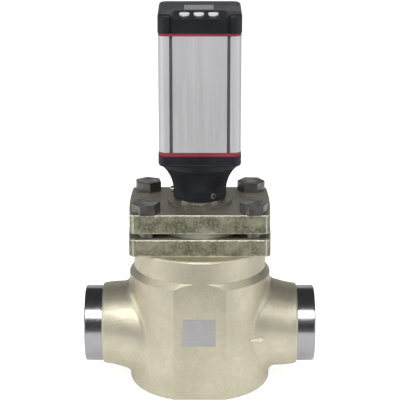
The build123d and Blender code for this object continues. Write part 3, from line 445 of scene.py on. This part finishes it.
def stator_finish():
    """Stack of blackened steel sheets."""
    finish = Finish("laminated_stack")
    sheets = finish.tool_marks("Z", 320)
    stains = finish.noise(80, 4.0, 0.6)
    face = finish.mix(sheets, (0.03, 0.03, 0.032), (0.085, 0.085, 0.09))
    face = finish.mix(finish.times(stains, 0.4), face, (0.05, 0.045, 0.04))
    rough = finish.ramp(stains, 0.0, 1.0, 0.35, 0.55)
    return finish.done(face, rough, finish.bump(sheets, 0.4, 0.15 * MM), 0.6)


def screw_finish():
    """Rolled screw: helical flanks below the collar with painted shade in their roots, ground shank above.
    """
    finish = Finish("screw_spindle")
    angle = finish.math("ARCTAN2", finish.y, finish.x)
    climb = finish.math("DIVIDE", finish.z, SCREW_PITCH)
    turns = finish.minus(climb, finish.math("DIVIDE", angle, 2 * math.pi))
    flank = finish.math("PINGPONG", turns, 0.5)
    threaded = finish.ramp(finish.z, SCREW_TOP, SCREW_TOP - 0.2 * MM)
    groove = finish.times(flank, threaded)
    stains = finish.noise(120, 4.0, 0.6)
    # Painted shade: the colour darkens towards each thread root.
    face = finish.mix(finish.times(groove, 1.6), (0.60, 0.59, 0.58), (0.34, 0.33, 0.31))
    face = finish.mix(finish.times(stains, 0.3), face, (0.40, 0.38, 0.34))
    rough = finish.ramp(stains, 0.0, 1.0, 0.20, 0.34)
    return finish.done(face, rough, finish.bump(groove, 0.8, 1.2 * MM), 1.0)


# Finishes of plastic, rubber and electronics

def moulded_finish(name, colour, rough_low, rough_high, grain_scale=1800, grain_depth=0.22):
    """Moulded plastic or rubber with a fine leather-like grain."""
    finish = Finish(name)
    colour = tuple(colour)
    dusty = tuple(min(1.0, c * 1.3 + 0.03) for c in colour)
    grain = finish.cells(grain_scale)
    clouds = finish.noise(30, 3.0, 0.5)
    dust = finish.noise(700, 4.0, 0.7, low=0.5, high=0.75)
    face = finish.mix(clouds, shade(colour, 0.85), shade(colour, 1.18))
    face = finish.mix(finish.times(dust, 0.12), face, dusty)
    rough = finish.ramp(clouds, 0.0, 1.0, rough_low, rough_high)
    return finish.done(face, rough, finish.bump(grain, grain_depth, 0.08 * MM), gloss=0.28)


def board_finish(name):
    """Circuit board: solder resist over a net of tracks, with bare pads."""
    finish = Finish(name)
    tracks = finish.node("ShaderNodeTexBrick")
    finish.join(finish.stretched((220.0, 220.0, 1.0)), tracks.inputs["Vector"])
    finish.feed((0.012, 0.09, 0.035), tracks.inputs["Color1"])
    finish.feed((0.02, 0.12, 0.045), tracks.inputs["Color2"])
    finish.feed((0.04, 0.20, 0.07), tracks.inputs["Mortar"])
    tracks.inputs["Mortar Size"].default_value = 0.06
    pads = finish.ramp(finish.cells(260), 0.16, 0.12)
    face = finish.mix(pads, tracks.outputs["Color"], (0.62, 0.50, 0.22))
    clouds = finish.noise(120, 2.0, 0.5)
    rough = finish.ramp(clouds, 0.0, 1.0, 0.28, 0.40)
    normal = finish.bump(tracks.outputs["Fac"], 0.15, 0.05 * MM)
    return finish.done(face, rough, normal, finish.times(pads, 0.9))


def button_finish(name, colour, centre, mark):
    """White button with a small grey mark: a ring, or an arrow head up or down."""
    finish = Finish(name)
    along = finish.minus(finish.x, centre.x)
    across = finish.minus(finish.y, centre.y)
    if mark == "ring":
        band = finish.unsigned(finish.minus(finish.radius(along, across), 1.5 * MM))
        printed = finish.ramp(band, 0.45 * MM, 0.35 * MM)
    else:
        rise = finish.times(across, 1.0 if mark == "up" else -1.0)
        slope = finish.plus(rise, finish.times(finish.unsigned(along), 1.2))
        inside = finish.ramp(slope, 1.55 * MM, 1.45 * MM)
        printed = finish.times(inside, finish.ramp(rise, -1.15 * MM, -1.05 * MM))
    clouds = finish.noise(90, 2.0, 0.5)
    face = finish.mix(clouds, shade(colour, 0.94), shade(colour, 1.03))
    face = finish.mix(printed, face, (0.19, 0.19, 0.20))
    rough = finish.ramp(clouds, 0.0, 1.0, 0.28, 0.38)
    return finish.done(face, rough, finish.bump(finish.cells(2200), 0.06, 0.05 * MM))


def window_finish():
    finish = Finish("smoked_window")
    haze = finish.noise(260, 3.0, 0.6, low=0.25, high=0.75)
    face = finish.mix(haze, (0.092, 0.090, 0.092), (0.104, 0.102, 0.104))
    rough = finish.ramp(haze, 0.0, 1.0, 0.16, 0.22)
    return finish.done(face, rough, gloss=0.20)


def display_finish():
    """Grey liquid crystal field inside a dark border."""
    finish = Finish("display_field")
    centre = box_centre("display_window")
    along = finish.unsigned(finish.minus(finish.x, centre.x))
    across = finish.unsigned(finish.minus(finish.y, centre.y))
    within_width = finish.ramp(along, DISPLAY_HALF_WIDTH, DISPLAY_HALF_WIDTH - 0.1 * MM)
    within_height = finish.ramp(across, DISPLAY_HALF_HEIGHT, DISPLAY_HALF_HEIGHT - 0.1 * MM)
    dots = finish.cells(2600)
    glass = finish.mix(dots, (0.16, 0.18, 0.15), (0.22, 0.24, 0.20))
    face = finish.mix(finish.times(within_width, within_height), (0.02, 0.02, 0.022), glass)
    rough = finish.ramp(dots, 0.0, 1.0, 0.20, 0.35)
    return finish.done(face, rough, finish.bump(dots, 0.05, 0.05 * MM))


# Modelling helpers

def box_centre(node):
    low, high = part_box(node)
    return Vector((a + b) / 2 for a, b in zip(low, high))


def clear_selection():
    if bpy.context.object is not None and bpy.context.object.mode != "OBJECT":
        bpy.ops.object.mode_set(mode="OBJECT")
    bpy.ops.object.select_all(action="DESELECT")


def select_only(obj):
    clear_selection()
    obj.select_set(True)
    bpy.context.view_layer.objects.active = obj


def settle(obj, name):
    """Names a piece and leaves its place in its mesh."""
    select_only(obj)
    bpy.ops.object.transform_apply(location=True, rotation=True, scale=True)
    obj.name = name
    obj.data.name = name


def pick_points(obj, test):
    """Selects the vertices that pass a test, in edit mode."""
    bpy.ops.object.mode_set(mode="EDIT")
    bpy.ops.mesh.select_mode(type="VERT")
    bpy.ops.mesh.select_all(action="DESELECT")
    mesh = bmesh.from_edit_mesh(obj.data)
    for vertex in mesh.verts:
        if test(vertex):
            vertex.select_set(True)
    mesh.select_flush(True)
    bmesh.update_edit_mesh(obj.data)


def merge_points(obj, reach):
    select_only(obj)
    bpy.ops.object.mode_set(mode="EDIT")
    bpy.ops.mesh.select_all(action="SELECT")
    bpy.ops.mesh.remove_doubles(threshold=reach)
    bpy.ops.object.mode_set(mode="OBJECT")


def turn_faces_out(obj):
    select_only(obj)
    bpy.ops.object.mode_set(mode="EDIT")
    bpy.ops.mesh.select_all(action="SELECT")
    bpy.ops.mesh.normals_make_consistent(inside=False)
    bpy.ops.object.mode_set(mode="OBJECT")


def welded_copy(node, name):
    """Merged copy of a CAD node, as a surface to lay pieces on."""
    select_only(nodes[node])
    bpy.ops.object.duplicate()
    copy = bpy.context.object
    copy.name = name
    merge_points(copy, 0.02 * MM)
    return copy


def arrow_outline(length, width):
    """Flat arrow of small faces that points along +X and looks towards -Y."""
    centre = Vector(ARROW_PLACE)
    clear_selection()
    bpy.ops.mesh.primitive_grid_add(x_subdivisions=12, y_subdivisions=4, size=1.0, location=centre,
                                    rotation=(math.pi / 2, 0, 0))
    arrow = bpy.context.object
    arrow.dimensions = (length, width, 0)
    settle(arrow, "flow_arrow")
    head_start = length * ARROW_HEAD_START
    tip = length / 2
    for vertex in arrow.data.vertices:
        along = vertex.co.x - centre.x
        if along < head_start:
            share = ARROW_STEM_SHARE
        else:
            share = max(0.0, (tip - along) / (tip - head_start))
        vertex.co.z = centre.z + (vertex.co.z - centre.z) * share
    bpy.ops.object.mode_set(mode="EDIT")
    bpy.ops.mesh.select_all(action="SELECT")
    bpy.ops.mesh.subdivide(number_cuts=2)
    bpy.ops.object.mode_set(mode="OBJECT")
    merge_points(arrow, 0.05 * MM)
    return arrow


def wind_thread(thread, pitch):
    """Draws the spun loops out along the inlet, in the order in which they were spun."""
    for index, vertex in enumerate(thread.data.vertices):
        vertex.co.y += pitch * (index // SECTION_POINTS) / THREAD_STEPS


# Operators

class VALVE_OT_casting(bpy.types.Operator):
    """Finishes the cast body, the cover and their bolts"""
    bl_idname = "valve.casting"
    bl_label = "Body and cover"

    def execute(self, context):
        colours = context.scene.valve_colours
        bolts = steel_finish("bolt_steel", colours.bolt_steel, 0.30, 0.48, mark_scale=160, wear=0.5)
        fibre = moulded_finish("fibre_gasket", (0.42, 0.44, 0.24), 0.7, 0.85, 600, 0.4)
        apply_finish(cast_body_finish(colours), "valve_body")
        apply_finish(bonnet_finish(colours), "top_cover")
        apply_finish(bolts, "cover_bolts")
        apply_finish(fibre, "cover_gasket")
        apply_finish(label_finish(colours), "label_plate")
        return {"FINISHED"}


class VALVE_OT_insert(bpy.types.Operator):
    """Finishes the cage, seat, cone, spindle and their seals"""
    bl_idname = "valve.insert"
    bl_label = "Insert and spindle"

    def execute(self, context):
        cage = steel_finish("cage_steel", (0.50, 0.49, 0.38), 0.26, 0.40, wear=0.3)
        seat = steel_finish("seat_steel", (0.60, 0.59, 0.58), 0.16, 0.28)
        pin = steel_finish("ground_pin", (0.62, 0.61, 0.60), 0.12, 0.22, mark_scale=900)
        bronze = steel_finish("bronze", (0.52, 0.33, 0.12), 0.28, 0.42)
        rubber = moulded_finish("black_rubber", (0.014, 0.014, 0.015), 0.45, 0.62, 1500, 0.2)
        white = moulded_finish("seal_plastic", (0.66, 0.64, 0.58), 0.40, 0.55, 900, 0.1)
        filled = moulded_finish("filled_plastic", (0.045, 0.043, 0.042), 0.42, 0.58, 900, 0.15)
        apply_finish(cage, "insert_cage")
        apply_finish(seat, "seat_ring", "throttle_cone")
        apply_finish(pin, "guide_pin")
        apply_finish(bronze, "spindle_nut", "spindle_bush")
        apply_finish(rubber, "cage_upper_seal", "cage_foot_seal", "can_seal")
        apply_finish(white, "cone_seal")
        apply_finish(filled, "piston_rings", "thrust_washer")
        apply_finish(screw_finish(), "spindle")
        return {"FINISHED"}


class VALVE_OT_coupling(bpy.types.Operator):
    """Finishes the coupling can, the magnets and the drive cup"""
    bl_idname = "valve.coupling"
    bl_label = "Magnetic coupling"

    def execute(self, context):
        colours = context.scene.valve_colours
        can = steel_finish("stainless", colours.stainless, 0.16, 0.28, wear=0.1)
        magnets = steel_finish("magnet_plating", (0.55, 0.53, 0.48), 0.14, 0.26)
        cup = steel_finish("turned_aluminium", (0.62, 0.62, 0.63), 0.24, 0.38)
        apply_finish(can, "coupling_can")
        apply_finish(magnets, "inner_magnet", "outer_magnet")
        apply_finish(cup, "drive_cup")
        return {"FINISHED"}


class VALVE_OT_motor(bpy.types.Operator):
    """Finishes the motor and its bracket"""
    bl_idname = "valve.motor"
    bl_label = "Motor"

    def execute(self, context):
        shaft = steel_finish("ground_shaft", (0.60, 0.60, 0.61), 0.14, 0.24, mark_scale=900)
        bearings = steel_finish("bearing_steel", (0.62, 0.62, 0.63), 0.10, 0.20)
        bells = steel_finish("die_cast_bell", (0.44, 0.44, 0.45), 0.38, 0.52, mark_scale=90)
        apply_finish(shaft, "motor_shaft")
        apply_finish(stator_finish(), "motor_stator", "motor_rotor")
        apply_finish(bearings, "motor_bearings")
        apply_finish(bells, "motor_lower_bell", "motor_upper_bell")
        apply_finish(plated_sheet_finish(), "motor_bracket")
        return {"FINISHED"}


class VALVE_OT_casing(bpy.types.Operator):
    """Finishes the actuator casing, its gaskets and its screws"""
    bl_idname = "valve.casing"
    bl_label = "Actuator casing"

    def execute(self, context):
        colours = context.scene.valve_colours
        foot = moulded_finish("neck_plastic", colours.dark_plastic, 0.26, 0.36, 1500, 0.10)
        cap = moulded_finish("cap_plastic", shade(colours.dark_plastic, 0.9), 0.36, 0.46)
        red = moulded_finish("red_rubber", colours.gasket, 0.42, 0.58, 1200, 0.2)
        bright = steel_finish("bright_screw", (0.56, 0.55, 0.54), 0.16, 0.28)
        black = steel_finish("black_screw", (0.035, 0.035, 0.04), 0.30, 0.44)
        apply_finish(extrusion_finish(colours), "motor_housing")
        apply_finish(foot, "lower_housing")
        apply_finish(cap, "top_cap")
        apply_finish(red, "lower_gasket", "upper_gasket")
        apply_finish(bright, "set_screws", "base_screws")
        apply_finish(black, "cap_screws")
        return {"FINISHED"}


class VALVE_OT_controls(bpy.types.Operator):
    """Finishes the buttons, display, boards and rear inlets"""
    bl_idname = "valve.controls"
    bl_label = "Controls and electronics"

    def execute(self, context):
        colours = context.scene.valve_colours
        for name, mark in (("button_left", "down"), ("button_middle", "ring"), ("button_right", "up")):
            plastic = button_finish(name + "_plastic", tuple(colours.button), box_centre(name), mark)
            apply_finish(plastic, name)
        switches = moulded_finish("switch_plastic", (0.02, 0.02, 0.022), 0.4, 0.5)
        spacers = steel_finish("brass_spacer", (0.60, 0.45, 0.17), 0.22, 0.34)
        nickel = steel_finish("nickel_plating", (0.55, 0.53, 0.49), 0.16, 0.28, axis="Y")
        apply_finish(window_finish(), "display_window")
        apply_finish(display_finish(), "display_module")
        apply_finish(board_finish("circuit_board"), "control_board", "driver_board")
        apply_finish(switches, "tact_switches")
        apply_finish(spacers, "board_spacers")
        apply_finish(nickel, "supply_connector", "signal_connector")
        return {"FINISHED"}


class VALVE_OT_flow_mark(bpy.types.Operator):
    """Models the raised flow arrow on the outlet side of the casting"""
    bl_idname = "valve.flow_mark"
    bl_label = "Flow arrow"

    def execute(self, context):
        sizes = context.scene.valve_sizes
        arrow = arrow_outline(sizes.flow_mark_length, sizes.flow_mark_width)
        surface = welded_copy("valve_body", "casting_surface")
        select_only(arrow)
        lay = arrow.modifiers.new("lay_on_casting", "SHRINKWRAP")
        lay.target = surface
        lay.wrap_method = "PROJECT"
        lay.use_project_y = True
        lay.use_positive_direction = True
        lay.use_negative_direction = False
        bpy.ops.object.modifier_apply(modifier=lay.name)
        wall = arrow.modifiers.new("relief", "SOLIDIFY")
        wall.thickness = sizes.flow_mark_relief * 1.6
        wall.offset = 0.2
        bpy.ops.object.modifier_apply(modifier=wall.name)
        soften = arrow.modifiers.new("cast_edges", "BEVEL")
        soften.width = ARROW_EDGE_BEVEL
        soften.segments = 2
        soften.limit_method = "ANGLE"
        bpy.ops.object.modifier_apply(modifier=soften.name)
        turn_faces_out(arrow)
        bpy.ops.object.shade_smooth_by_angle(angle=math.radians(40))
        bpy.data.objects.remove(surface, do_unlink=True)
        arrow.data.materials.append(arrow_painted_highlight_finish(context.scene.valve_colours))
        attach(arrow, "valve")
        return {"FINISHED"}


class VALVE_OT_connector_threads(bpy.types.Operator):
    """Models the coupling thread round each rear inlet"""
    bl_idname = "valve.connector_threads"
    bl_label = "Inlet threads"

    def execute(self, context):
        pitch = context.scene.valve_sizes.thread_pitch
        for name in ("supply_connector", "signal_connector"):
            axis = box_centre(name)
            start = Vector((axis.x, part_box(name)[1][1] - THREAD_LENGTH, axis.z))
            root = start.x + THREAD_RADIUS
            clear_selection()
            bpy.ops.mesh.primitive_plane_add(size=1.0, location=(root, start.y, start.z))
            thread = bpy.context.object
            thread.dimensions = (THREAD_DEPTH, pitch * THREAD_ROOT_SHARE, 0)
            settle(thread, name + "_thread")
            pick_points(thread, lambda vertex: vertex.co.x > root)
            bpy.ops.transform.resize(value=(1, THREAD_CREST_SHARE, 1), center_override=start)
            bpy.ops.mesh.select_all(action="SELECT")
            bpy.ops.mesh.spin(steps=THREAD_STEPS * THREAD_TURNS, angle=2 * math.pi * THREAD_TURNS,
                              center=start, axis=(0, 1, 0))
            bpy.ops.object.mode_set(mode="OBJECT")
            wind_thread(thread, pitch)
            merge_points(thread, 0.002 * MM)
            turn_faces_out(thread)
            bpy.ops.object.shade_smooth_by_angle(angle=math.radians(35))
            thread.data.materials.append(bpy.data.materials["nickel_plating"])
            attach(thread, "valve")
        return {"FINISHED"}


class VALVE_OT_stage(bpy.types.Operator):
    """Builds the pale floor, the soft lamps, the cards and the camera"""
    bl_idname = "valve.stage"
    bl_label = "Studio stage"

    def execute(self, context):
        clear_selection()
        bpy.ops.mesh.primitive_plane_add(size=30.0, location=(0, 6.0, 0))
        floor = bpy.context.object
        floor.name = "floor"
        floor.data.materials.append(floor_finish())
        add_lamp("front_lamp", (-0.1, -1.30, 1.38), (0, 0, 0.06), (1.5, 0.68), 19)
        add_lamp("left_lamp", (-1.75, -0.55, 0.75), (0, 0, 0.12), (1.0, 1.0), 9)
        add_lamp("right_lamp", (1.75, -0.65, 0.70), (0, 0, 0.12), (1.0, 1.0), 7)
        add_lamp("top_lamp", (0.1, 0.35, 1.9), (0, 0, 0.2), (1.3, 1.3), 10, mirrored=False)
        add_card("grey_card_low", (0, -1.36, 0.003), (1.1, 2.0), 0.0, 0.05)
        add_card("pale_card_back", (0, 2.2, 0.75), (2.4, 0.9), math.pi / 2, 0.55)
        light_the_room(context)
        place_camera(context)
        return {"FINISHED"}


# Stage helpers

def floor_finish():
    """White floor that keeps the object's shadow and is dimmer in metal."""
    material = bpy.data.materials.new("floor_white")
    material.use_nodes = True
    tree = material.node_tree
    shader = tree.nodes["Principled BSDF"]
    shader.inputs["Base Color"].default_value = (0.80, 0.80, 0.80, 1)
    shader.inputs["Roughness"].default_value = 0.9
    path = tree.nodes.new("ShaderNodeLightPath")
    mirrored = tree.nodes.new("ShaderNodeMath")
    mirrored.operation = "MAXIMUM"
    tree.links.new(path.outputs["Is Glossy Ray"], mirrored.inputs[0])
    tree.links.new(path.outputs["Is Transmission Ray"], mirrored.inputs[1])
    dimmed = tree.nodes.new("ShaderNodeMath")
    dimmed.operation = "MULTIPLY"
    dimmed.inputs[1].default_value = 0.20
    tree.links.new(mirrored.outputs[0], dimmed.inputs[0])
    lift = tree.nodes.new("ShaderNodeMath")
    lift.operation = "MULTIPLY_ADD"
    lift.inputs[1].default_value = 0.72
    tree.links.new(path.outputs["Is Camera Ray"], lift.inputs[0])
    tree.links.new(dimmed.outputs[0], lift.inputs[2])
    shader.inputs["Emission Color"].default_value = (1, 1, 1, 1)
    tree.links.new(lift.outputs[0], shader.inputs["Emission Strength"])
    return material


def add_lamp(name, place, aim, size, power, mirrored=True):
    clear_selection()
    bpy.ops.object.light_add(type="AREA", location=place)
    lamp = bpy.context.object
    lamp.name = name
    lamp.data.shape = "RECTANGLE"
    lamp.data.size, lamp.data.size_y = size
    lamp.data.energy = power
    lamp.rotation_euler = (Vector(aim) - Vector(place)).to_track_quat("-Z", "Y").to_euler()
    lamp.visible_glossy = mirrored


def add_card(name, place, size, lean, grey):
    """Card of one grey that only reflections see, flat on the floor or leaning up from it."""
    clear_selection()
    bpy.ops.mesh.primitive_plane_add(size=1.0, location=place, rotation=(lean, 0, 0))
    card = bpy.context.object
    card.name = name
    card.scale = (*size, 1)
    material = bpy.data.materials.new(name)
    material.use_nodes = True
    shader = material.node_tree.nodes["Principled BSDF"]
    shader.inputs["Base Color"].default_value = (0, 0, 0, 1)
    shader.inputs["Emission Color"].default_value = (grey, grey, grey, 1)
    shader.inputs["Emission Strength"].default_value = 1.0
    card.data.materials.append(material)
    card.visible_camera = False
    card.visible_shadow = False
    card.visible_diffuse = False
    card.visible_transmission = False


def light_the_room(context):
    """White to the camera, grey to matt surfaces and nearly dark in metal."""
    world = context.scene.world or bpy.data.worlds.new("studio")
    context.scene.world = world
    world.use_nodes = True
    tree = world.node_tree
    background = tree.nodes["Background"]
    path = tree.nodes.new("ShaderNodeLightPath")
    surroundings = tree.nodes.new("ShaderNodeMix")
    surroundings.data_type = "RGBA"
    surroundings.inputs[6].default_value = (0.30, 0.30, 0.31, 1)
    surroundings.inputs[7].default_value = (0.06, 0.06, 0.065, 1)
    tree.links.new(path.outputs["Is Glossy Ray"], surroundings.inputs[0])
    backdrop = tree.nodes.new("ShaderNodeMix")
    backdrop.data_type = "RGBA"
    backdrop.inputs[7].default_value = (1, 1, 1, 1)
    tree.links.new(path.outputs["Is Camera Ray"], backdrop.inputs[0])
    tree.links.new(surroundings.outputs[2], backdrop.inputs[6])
    tree.links.new(backdrop.outputs[2], background.inputs["Color"])
    background.inputs["Strength"].default_value = 1.0


def place_camera(context):
    sizes = context.scene.valve_sizes
    clear_selection()
    rise = sizes.camera_elevation
    target = Vector((0.2 * MM, 0, sizes.camera_target))
    place = target + sizes.camera_distance * Vector((0, -math.cos(rise), math.sin(rise)))
    bpy.ops.object.camera_add(location=place, rotation=(math.pi / 2 - rise, 0, 0))
    camera = bpy.context.object
    camera.name = "photo_camera"
    camera.data.sensor_width = 36.0
    camera.data.lens = sizes.lens_length
    camera.data.clip_end = 60.0
    context.scene.camera = camera
    context.scene.view_settings.view_transform = "Standard"


# Panel and registration

STEPS = (
    VALVE_OT_casting,
    VALVE_OT_insert,
    VALVE_OT_coupling,
    VALVE_OT_motor,
    VALVE_OT_casing,
    VALVE_OT_controls,
    VALVE_OT_flow_mark,
    VALVE_OT_connector_threads,
    VALVE_OT_stage,
)


class VALVE_PT_panel(bpy.types.Panel):
    """Sidebar panel with every step of the valve"""
    bl_idname = "VALVE_PT_panel"
    bl_label = "Motor-operated valve"
    bl_space_type = "VIEW_3D"
    bl_region_type = "UI"
    bl_category = "Valve"

    def draw(self, context):
        for step in STEPS:
            self.layout.operator(step.bl_idname)
        for group in (context.scene.valve_sizes, context.scene.valve_colours):
            for name in group.__annotations__:
                self.layout.prop(group, name)


CLASSES = (ValveSizes, ValveColours, *STEPS, VALVE_PT_panel)


def register():
    for item in CLASSES:
        bpy.utils.register_class(item)
    bpy.types.Scene.valve_sizes = bpy.props.PointerProperty(type=ValveSizes)
    bpy.types.Scene.valve_colours = bpy.props.PointerProperty(type=ValveColours)


def unregister():
    del bpy.types.Scene.valve_colours
    del bpy.types.Scene.valve_sizes
    for item in reversed(CLASSES):
        bpy.utils.unregister_class(item)


def main():
    register()
    bpy.ops.valve.casting()
    bpy.ops.valve.insert()
    bpy.ops.valve.coupling()
    bpy.ops.valve.motor()
    bpy.ops.valve.casing()
    bpy.ops.valve.controls()
    bpy.ops.valve.flow_mark()
    bpy.ops.valve.connector_threads()
    bpy.ops.valve.stage()


if __name__ == "__main__":
    main()
